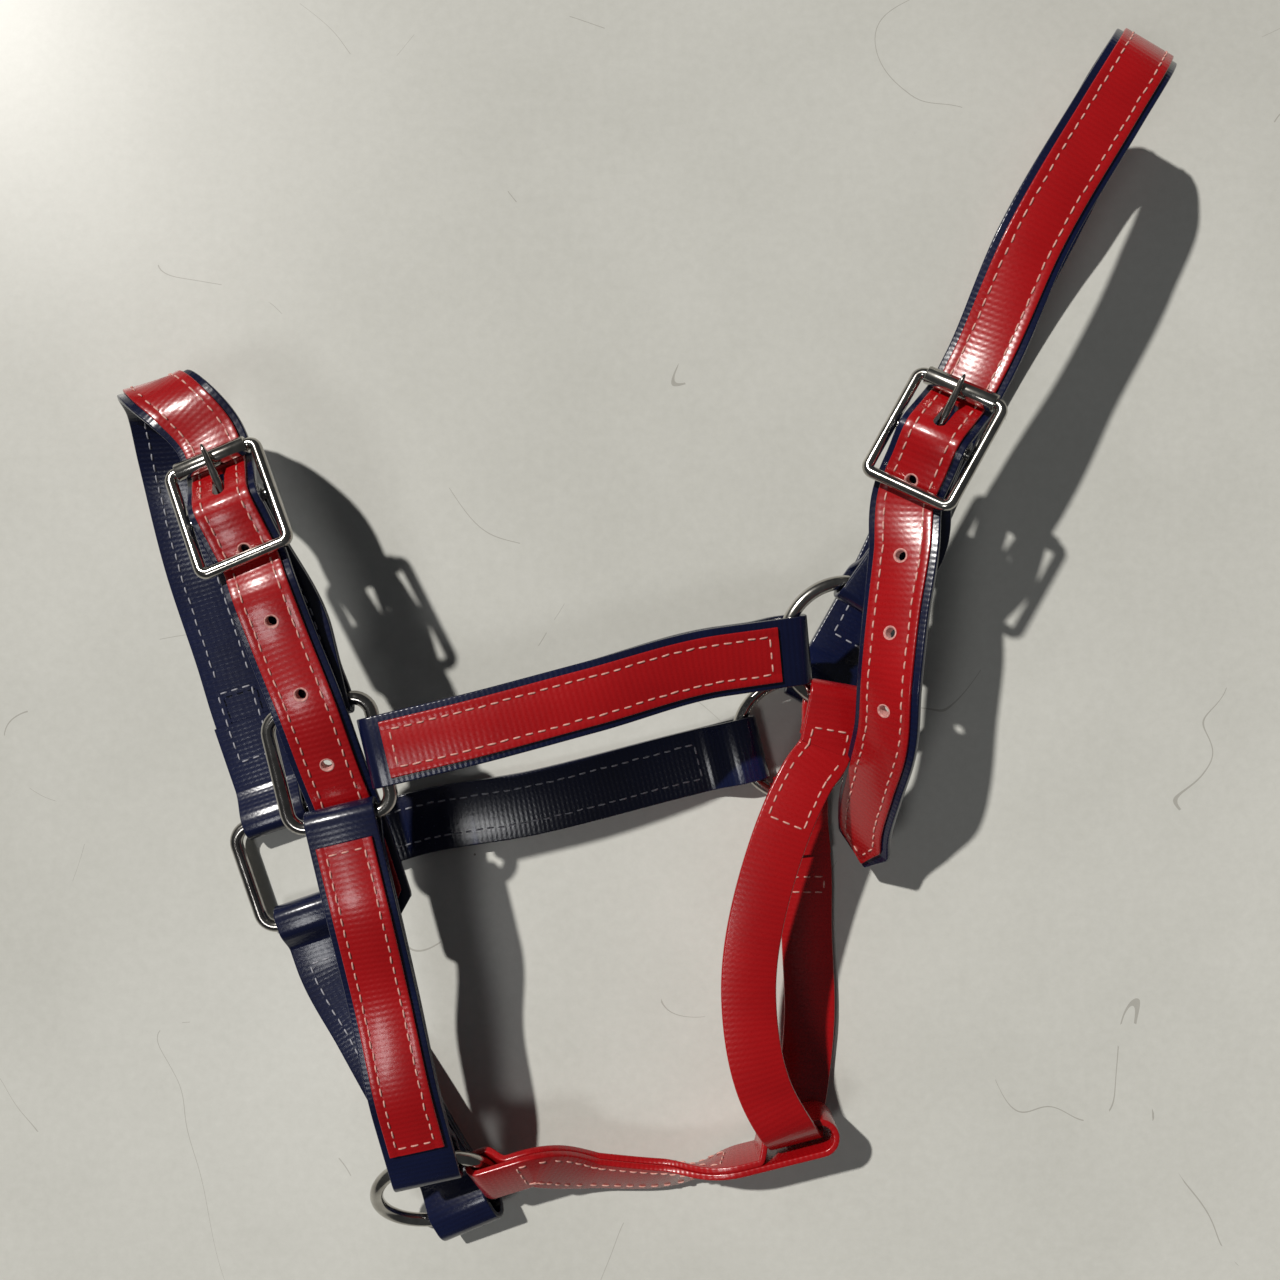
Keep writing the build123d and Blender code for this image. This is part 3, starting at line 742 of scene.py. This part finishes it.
def floor_material():
    """Pale painted surface with faint cloudy stains, fine grit, hair scratches and specks."""
    material, tree, shader = new_material("pale_floor")
    spot = tree.nodes.new("ShaderNodeTexCoord")
    cloud = add_node(tree, "ShaderNodeTexNoise", Scale=5.0, Detail=6.0, Roughness=0.6)
    grit = add_node(tree, "ShaderNodeTexNoise", Scale=260.0, Detail=4.0, Roughness=0.7)
    for texture in (cloud, grit):
        tree.links.new(spot.outputs["Object"], texture.inputs["Vector"])
    mixed = math_node(tree, "ADD", math_node(tree, "MULTIPLY", cloud.outputs["Fac"], 0.7),
                      math_node(tree, "MULTIPLY", grit.outputs["Fac"], 0.3))
    colour = ramp(tree, mixed, ((0.3, (0.52, 0.52, 0.48)), (0.7, (0.66, 0.66, 0.62))))
    hair = add_node(tree, "ShaderNodeTexNoise", Scale=9.0, Detail=1.0, Distortion=0.6)
    worn = add_node(tree, "ShaderNodeTexNoise", Scale=14.0, Detail=3.0)
    fleck = add_node(tree, "ShaderNodeTexVoronoi", Scale=55.0)
    for texture in (hair, worn, fleck):
        tree.links.new(spot.outputs["Object"], texture.inputs["Vector"])
    ridge = math_node(tree, "ABSOLUTE", math_node(tree, "SUBTRACT", hair.outputs["Fac"], 0.5))
    line = math_node(tree, "LESS_THAN", ridge, 0.0009)
    broken = math_node(tree, "GREATER_THAN", worn.outputs["Fac"], 0.56)
    scratch = math_node(tree, "MULTIPLY", line, broken)
    dot = math_node(tree, "LESS_THAN", fleck.outputs["Distance"], 0.035)
    stained = math_node(tree, "GREATER_THAN", cloud.outputs["Fac"], 0.58)
    rare = math_node(tree, "MULTIPLY", dot, stained)
    mark = math_node(tree, "ADD", math_node(tree, "MULTIPLY", scratch, 0.4),
                     math_node(tree, "MULTIPLY", rare, 0.8))
    stain = tree.nodes.new("ShaderNodeMix")
    stain.data_type = "RGBA"
    tree.links.new(mark, stain.inputs["Factor"])
    tree.links.new(colour, stain.inputs[6])
    stain.inputs[7].default_value = (0.16, 0.14, 0.11, 1)
    tree.links.new(stain.outputs[2], shader.inputs["Base Color"])
    shader.inputs["Roughness"].default_value = 0.34
    shader.inputs["Specular IOR Level"].default_value = 0.3
    return material


NAVY = webbing_material("navy_coated_webbing", (0.003, 0.004, 0.020), (0.004, 0.007, 0.033),
                        (0.006, 0.010, 0.050), 0.0019, 0.18)
RED = webbing_material("red_coated_webbing", (0.29, 0.003, 0.005), (0.36, 0.004, 0.006),
                       (0.41, 0.006, 0.009), 0.0021, 0.21)
PALE_THREAD = thread_material("pale_thread", (0.72, 0.40, 0.34), (0.52, 0.22, 0.18))
GREY_THREAD = thread_material("grey_thread", (0.42, 0.42, 0.46), (0.24, 0.24, 0.28))
CUT_EDGE = thread_material("cut_edge", (0.72, 0.36, 0.32), (0.45, 0.16, 0.15))
NICKEL = nickel_material("nickel_plate", (0.54, 0.52, 0.48), (0.36, 0.34, 0.31))
DARK_NICKEL = nickel_material("worn_nickel", (0.46, 0.44, 0.41), (0.30, 0.28, 0.26))


# ---------------------------------------------------------------- sewing
# heights of seams above the front of a strap, and the seams' distance from its middle
COVER_TOP = OVERLAY_THICK + OVERLAY_LIFT - COVER_SEAM_SINK
SINGLE_BACK = -STRAP_THICK - SEAM_LIFT
DOUBLE_BACK = -2 * STRAP_THICK - SEAM_LIFT
COVER_SEAM = OVERLAY_WIDTH / 2 - SEAM_INSET
NARROW_SEAM = NARROW_WIDTH / 2 - SEAM_INSET


def stitch(bm, middle, along, up, length):
    """One stitch: a short plump thread whose ends dive into the strap."""
    across = along.cross(up).normalized()
    rings = []
    for t, size, sink in ((-1, 0.5, 0.55), (-0.8, 0.85, 0.22), (-0.35, 1, 0), (0.35, 1, 0),
                          (0.8, 0.85, 0.22), (1, 0.5, 0.55)):
        centre = middle + along * (t * length / 2) - up * (sink * 2 * THREAD)
        ring = []
        for j in range(8):
            a = math.tau * j / 8
            ring.append(bm.verts.new(centre + across * (size * THREAD * 1.15 * math.cos(a))
                                     + up * (size * THREAD * math.sin(a))))
        rings.append(ring)
    skin(bm, rings, False)


def seam(bm, track, height, ends):
    """Row of stitches between two places (along, across) on a track, at a height over its front."""
    (s0, u0), (s1, u1) = ends
    span = math.hypot(s1 - s0, u1 - u0)
    count = max(1, round(span / STITCH_PITCH))
    sign = 1 if height > 0 else -1
    for i in range(count):
        t = (i + 0.5) / count
        s = s0 + (s1 - s0) * t
        u = u0 + (u1 - u0) * t + random.uniform(-0.18, 0.18)
        point, side, normal, travel = track.place(s)
        slant = random.uniform(-0.07, 0.07)
        along = travel * ((s1 - s0) / span) + side * ((u1 - u0) / span + slant)
        middle = point + side * u + normal * (height + sign * THREAD * 0.45)
        stitch(bm, middle, along.normalized(), normal * sign,
               STITCH_LENGTH * random.uniform(0.88, 1.06))


def box_seams(s0, s1, half):
    """Seams round a rectangle on a strap."""
    return [((s0, half), (s1, half)), ((s0, -half), (s1, -half)),
            ((s0, -half), (s0, half)), ((s1, -half), (s1, half))]


def sew(name, track, height, rows, material):
    """One piece with all the stitches of some rows."""
    bm = bmesh.new()
    for ends in rows:
        seam(bm, track, height, ends)
    return make_object(name, bm, material, ROOT, 60.0)


# ---------------------------------------------------------------- bands
def doubled_rows(track, first, last, thick):
    """Rows of the one band of a doubled strap, which starts and stops at the middle of its back."""
    low = track.marks[2]
    high = track.marks[-3]
    back = track.layer(-1.5 * thick - LAYER_GAP, low, high)
    middle = len(back) // 2
    front = track.layer(-thick / 2, 0, len(track.rows) - 1)
    from_first = [(p, -s, n) for p, s, n in first.turn()[::-1]]
    to_last = last.turn()
    return (reverse_layer(back[:middle + 1]) + from_first + front + to_last
            + reverse_layer(back[middle:]))


def doubled_strap(name, path, ends, width, thick, material):
    """One band folded round two rings; gives its track and its piece."""
    track = Track(path)
    rows = doubled_rows(track, ends[0], ends[1], thick)
    bm = sweep_band(rows, web_outline(width, thick, BASE_CORNER, None))
    piece = make_object(name + "_webbing", bm, material, ROOT)
    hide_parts(name)
    return track, piece


def red_strip(name, track, first, tip=None):
    """Red webbing along the middle of a strap, from one of the track's rows to its end."""
    rows = track.layer(OVERLAY_LIFT / 2 + OVERLAY_THICK / 2, first, len(track.rows) - 1)
    outline = web_outline(OVERLAY_WIDTH, OVERLAY_THICK, COVER_CORNER, GROOVE)
    bm = sweep_band(rows, outline, tip)
    return make_object(name + "_strip", bm, RED, ROOT)


def overlay(name, track):
    """Red strip over the whole of a strap between its folds, with its seams."""
    piece = red_strip(name, track, 0)
    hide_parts(name)
    rows = box_seams(SEAM_INSET, track.length - SEAM_INSET, COVER_SEAM)
    sew(name + "_seam", track, COVER_TOP, rows, PALE_THREAD)


def sewn_strap(name, path, ends):
    """A doubled strap between two rings with its red strip, sewn through both layers."""
    track, _ = doubled_strap(name + "_strap", path, ends, STRAP_WIDTH, STRAP_THICK, NAVY)
    overlay(name + "_overlay", track)
    reach = END_LENGTH - OVERLAY_SETBACK + 2
    rows = box_seams(reach, track.length - reach, COVER_SEAM)
    sew(name + "_back_seam", track, DOUBLE_BACK, rows, GREY_THREAD)


def billet_holes(track, buckle):
    """Lengths along the billet of the tongue's hole and the free holes before it."""
    pin = buckle.point(PIN_STATION, 0, 0)
    nearest = min(range(len(track.rows)), key=lambda i: (track.rows[i][0] - pin).length)
    first = track.lengths[nearest]
    places = [first - i * HOLE_PITCH for i in range(HOLE_COUNT)]
    return [s for s in places if s > HOLE_MARGIN]


def punch(piece, track, holes):
    """Punches the holes, the first one as the slot that the tongue stands in."""
    bm = bmesh.new()
    for i, s in enumerate(holes):
        point, _, normal, travel = track.place(s)
        plane = Plane(point, travel, normal)
        stretch = (PIN_SLOT - HOLE) / 2 if i == 0 else 0.0
        prism(bm, plane, slot_outline(HOLE / 2, stretch), *PUNCH_REACH)
    cut(piece, bm)


def hole_edges(name, track, holes):
    """Pale cut walls inside the free holes, with a slightly raised rim."""
    bm = bmesh.new()
    outer = HOLE / 2 + 0.02
    for s in holes[1:]:
        point, _, normal, travel = track.place(s)
        plane = Plane(point, travel, normal)
        profile = ((outer, -STRAP_THICK + 0.1), (outer, 1.45), (outer + 0.25, 1.56),
                   (outer - 0.12, 1.6), (outer - 0.45, 1.3), (outer - 0.5, -STRAP_THICK + 0.1))
        lathe(bm, plane, profile, HOLE_SIDES)
    make_object(name, bm, CUT_EDGE, ROOT)


def billet_seams(name, cover_name, track):
    """Seams of a billet: round its red strip, along its back, and round its turned-back lap."""
    half = COVER_SEAM
    point = OVERLAY_INSET + 4.5
    shoulder = OVERLAY_INSET + TIP_LENGTH + 1
    stop = track.length - SEAM_INSET
    rows = [((shoulder, half), (stop, half)), ((shoulder, -half), (stop, -half)),
            ((point, 0.6), (shoulder, half)), ((point, -0.6), (shoulder, -half)),
            ((stop, -half), (stop, half))]
    sew(cover_name + "_seam", track, COVER_TOP, rows, PALE_THREAD)
    far = track.length - END_LENGTH - LAP + OVERLAY_SETBACK
    rows = [((shoulder, half), (far, half)), ((shoulder, -half), (far, -half))]
    sew(name + "_back_seam", track, SINGLE_BACK, rows, GREY_THREAD)
    rows = box_seams(far + 6, stop - 14, half)
    sew(name + "_lap_seam", track, DOUBLE_BACK, rows, GREY_THREAD)


def billet(name, cover_name, path, end, buckle):
    """Strap that runs from a point through its buckle and folds back round the far ring."""
    track = Track(path)
    holes = billet_holes(track, buckle)
    rows = track.layer(-STRAP_THICK / 2, 0, len(track.rows) - 1) + end.turn()
    bm = sweep_band(rows, web_outline(STRAP_WIDTH, STRAP_THICK, BASE_CORNER, None), TIP_START)
    strap = make_object(name + "_webbing", bm, NAVY, ROOT)
    punch(strap, track, holes)
    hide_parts(name)
    first = next(i for i, s in enumerate(track.lengths) if s >= OVERLAY_INSET)
    cover = red_strip(cover_name, track, first, TIP_START)
    punch(cover, track, holes)
    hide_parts(cover_name)
    billet_seams(name, cover_name, track)
    hole_edges(cover_name + "_hole_edges", track, holes)


def chape(name, path, ends):
    """Short doubled strap from a ring to a buckle's centre bar, notched round the tongue's eye."""
    track, piece = doubled_strap(name, path, ends, STRAP_WIDTH, CHAPE_THICK, NAVY)
    bm = bmesh.new()
    bar = ends[1].plane
    across = Plane(bar.origin, bar.x, bar.x.cross(bar.z))
    prism(bm, across, NOTCH, -NOTCH_HALF, NOTCH_HALF)
    cut(piece, bm)
    half = STRAP_WIDTH / 2 - SEAM_INSET - 1.2
    start = min(8.0, track.length * 0.3)
    stop = track.length - 2
    rows = [((start, half), (stop, half)), ((start, -half), (stop, -half)),
            ((start, -half), (start, half))]
    sew(name + "_seam", track, SEAM_LIFT, rows, GREY_THREAD)


def throat():
    """Plain red strap under the throat, its ends folded round the cheek rings and sewn down."""
    track = Track(throat_path)
    front = track.layer(-STRAP_THICK / 2, 0, len(track.rows) - 1)
    rows = [(p, -s, n) for p, s, n in throat_near.turn()[::-1]] + front + throat_far.turn()
    bm = sweep_band(rows, web_outline(NARROW_WIDTH, STRAP_THICK, THROAT_CORNER, None))
    piece = make_object("throat_strap_webbing", bm, RED, ROOT)
    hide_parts("throat_strap")
    far_start = track.length - 34.0
    near = box_seams(4.0, 42.0, NARROW_SEAM)
    far = box_seams(far_start, track.length - 3.0, NARROW_SEAM)
    sew("throat_strap_seam", track, SEAM_LIFT, near + far, PALE_THREAD)
    lap = box_seams(far_start, track.length - 28.0, NARROW_SEAM)
    sew("throat_strap_back_seam", track, SINGLE_BACK, lap, PALE_THREAD)


def connector():
    """Doubled red strap from the chin ring to its loop round the throat strap."""
    track, _ = doubled_strap("throat_connector", connector_path, (connector_ring, connector_loop),
                             NARROW_WIDTH, STRAP_THICK, RED)
    stop = track.length - 32.0
    rows = box_seams(6.0, stop, NARROW_SEAM)
    sew("throat_connector_seam", track, SEAM_LIFT, rows, PALE_THREAD)
    rows = box_seams(16.0, stop, NARROW_SEAM)
    sew("throat_connector_back_seam", track, DOUBLE_BACK, rows, PALE_THREAD)


# ---------------------------------------------------------------- metal
def round_ring(name, plane):
    """Round wire ring, a body of its own."""
    angles = [math.tau * i / 120 for i in range(120)]
    points = [plane.point(ROUND_RING_RADIUS * math.cos(a), ROUND_RING_RADIUS * math.sin(a), 0)
              for a in angles]
    piece = tube(name + "_wire", points, WIRE / 2, NICKEL, name, plane.z)
    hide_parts(name)


def nose_ring(name, plane):
    """Rectangular wire ring, held in the straps."""
    points = rounded_rectangle(plane, NOSE_RING_ACROSS / 2, NOSE_RING_ALONG / 2, NOSE_RING_CORNER)
    piece = tube(name + "_wire", points, WIRE / 2, DARK_NICKEL, ROOT, plane.z)
    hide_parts(name)


def buckle_frame(name, plane):
    """Rectangular wire frame, and the centre bar that lies lower across it."""
    points = rounded_rectangle(plane, BUCKLE_ALONG / 2, BUCKLE_ACROSS / 2, BUCKLE_CORNER)
    wire = tube(name + "_frame_wire", points, BUCKLE_WIRE / 2, NICKEL, name, plane.z)
    half = BUCKLE_ACROSS / 2
    line = [plane.point(0, half * (i / 10 - 1), -BAR_DROP) for i in range(21)]
    bar = tube(name + "_centre_bar", line, BAR_DIAMETER / 2, NICKEL, name, plane.z, False)
    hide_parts(name + "_frame")
    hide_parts(name + "_frame")


def buckle_roller(name, plane):
    """Rolled sheet tube with a lap line and rounded rims."""
    bm = bmesh.new()
    half = ROLLER_LENGTH / 2
    outer = ROLLER_OUTER / 2
    inner = BUCKLE_WIRE / 2 + RUNNING_FIT
    profile = ((-half, inner), (-half, outer - 0.35), (-half + 0.12, outer - 0.12),
               (-half + 0.4, outer), (half - 0.4, outer), (half - 0.12, outer - 0.12),
               (half, outer - 0.35), (half, inner))
    turns = 48
    rings = []
    for along, radius in profile:
        ring = []
        for j in range(turns):
            a = math.tau * j / turns
            dent = 0.22 if j == 6 and radius > outer - 0.3 else 0.0
            ring.append(bm.verts.new(plane.point(
                BUCKLE_ALONG / 2 + (radius - dent) * math.cos(a), along,
                (radius - dent) * math.sin(a))))
        rings.append(ring)
    skin(bm, rings, True)
    piece = make_object(name + "_roller_tube", bm, NICKEL, name + "_roller", 50.0)
    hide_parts(name + "_roller")


def buckle_tongue(name, plane):
    """Eye bent round the centre bar, and a tapering pin that rests on the roller."""
    bar = Plane(plane.point(0, 0, -BAR_DROP), plane.x, plane.x.cross(plane.z))
    bm = bmesh.new()
    stations = ((2.2, 1.4, 1.3, 1.5), (6, 2.9, 1.25, 1.5), (11, 4.6, 1.15, 1.4),
                (16, 6.1, 1.1, 1.2), (20, 7.3, 1.0, 0.95), (TONGUE_REACH - 0.6, 7.9, 0.8, 0.6),
                (TONGUE_REACH, TONGUE_RISE + 0.3, 0.3, 0.25))
    rings = []
    for x, z, thick, wide in stations:
        ring = []
        for j in range(16):
            a = math.tau * j / 16
            ring.append(bm.verts.new(bar.point(x - thick * 0.35 * math.sin(a),
                                               z + thick * math.sin(a), wide * math.cos(a))))
        rings.append(ring)
    skin(bm, rings, False)
    pin = make_object(name + "_tongue_pin", bm, DARK_NICKEL, name + "_tongue")
    bm = bmesh.new()
    inner = BAR_DIAMETER / 2 + RUNNING_FIT
    half = TONGUE_WIDTH / 2
    profile = ((inner, -half), (TONGUE_EYE - 0.4, -half), (TONGUE_EYE, -half + 0.5),
               (TONGUE_EYE, half - 0.5), (TONGUE_EYE - 0.4, half), (inner, half))
    lathe(bm, bar, profile, 32)
    eye = make_object(name + "_tongue_eye", bm, DARK_NICKEL, name + "_tongue")
    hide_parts(name + "_tongue")
    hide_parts(name + "_tongue")


# ---------------------------------------------------------------- stage
SUN_TRAVEL = (0.60, -0.57, -1.0)
PANEL_PLACE = (-0.55, -0.62, 1.6)      # metres


def floor():
    """Surface that the halter lies on."""
    bm = bmesh.new()
    bmesh.ops.create_grid(bm, x_segments=2, y_segments=2, size=3.0)
    mesh = bpy.data.meshes.new("floor")
    bm.to_mesh(mesh)
    bm.free()
    mesh.materials.append(floor_material())
    ground = bpy.data.objects.new("floor", mesh)
    bpy.context.scene.collection.objects.link(ground)


def lights():
    """Sun from the upper left, a soft panel and a faint sky."""
    sun = bpy.data.lights.new("key", "SUN")
    sun.energy = 3.15
    sun.angle = math.radians(1.6)
    sun.color = (1.0, 0.97, 0.92)
    key = bpy.data.objects.new("key", sun)
    key.rotation_mode = "QUATERNION"
    key.rotation_quaternion = Vector(SUN_TRAVEL).to_track_quat("-Z", "Y")
    bpy.context.scene.collection.objects.link(key)
    panel = bpy.data.lights.new("panel", "AREA")
    panel.energy = 3.6
    panel.size = 0.36
    lamp = bpy.data.objects.new("panel", panel)
    lamp.location = PANEL_PLACE
    lamp.rotation_mode = "QUATERNION"
    lamp.rotation_quaternion = (-Vector(PANEL_PLACE)).to_track_quat("-Z", "Y")
    bpy.context.scene.collection.objects.link(lamp)
    world = bpy.data.worlds.new("studio")
    bpy.context.scene.world = world
    world.use_nodes = True
    world.node_tree.nodes["Background"].inputs["Color"].default_value = (0.92, 0.96, 1.0, 1)
    world.node_tree.nodes["Background"].inputs["Strength"].default_value = 0.055
    bpy.context.scene.view_settings.view_transform = "Standard"


def camera():
    """Looks straight down from half a metre above the surface."""
    data = bpy.data.cameras.new("camera")
    data.lens = 35.3
    data.sensor_width = 36.0
    eye = bpy.data.objects.new("camera", data)
    eye.location = at(0, 0, EYE_HEIGHT) * MM
    bpy.context.scene.collection.objects.link(eye)
    bpy.context.scene.camera = eye


def main():
    camera()
    lights()
    floor()
    sewn_strap("near_cheek", near_cheek_path, (near_cheek_front, near_cheek_rear))
    sewn_strap("far_cheek", far_cheek_path, (far_cheek_front, far_cheek_rear))
    sewn_strap("near_chin", near_chin_path, (near_chin_top, near_chin_low))
    sewn_strap("far_chin", far_chin_path, (far_chin_top, far_chin_low))
    chape("crown_chape", crown_chape_path, (crown_chape_ring, crown_chape_bar))
    chape("nose_chape", nose_chape_path, (nose_chape_ring, nose_chape_bar))
    billet("crown_strap", "crown_overlay", crown_path, crown_far, CROWN_BUCKLE)
    billet("noseband_strap", "noseband_overlay", nose_path, nose_far, NOSE_BUCKLE)
    throat()
    connector()
    round_ring("near_cheek_ring", NEAR_CHEEK_RING)
    round_ring("far_cheek_ring", FAR_CHEEK_RING)
    round_ring("chin_ring", CHIN_RING)
    nose_ring("near_nose_ring", NEAR_NOSE_RING)
    nose_ring("far_nose_ring", FAR_NOSE_RING)
    for name, plane in (("crown_buckle", CROWN_BUCKLE), ("nose_buckle", NOSE_BUCKLE)):
        buckle_frame(name, plane)
        buckle_roller(name, plane)
        buckle_tongue(name, plane)


main()
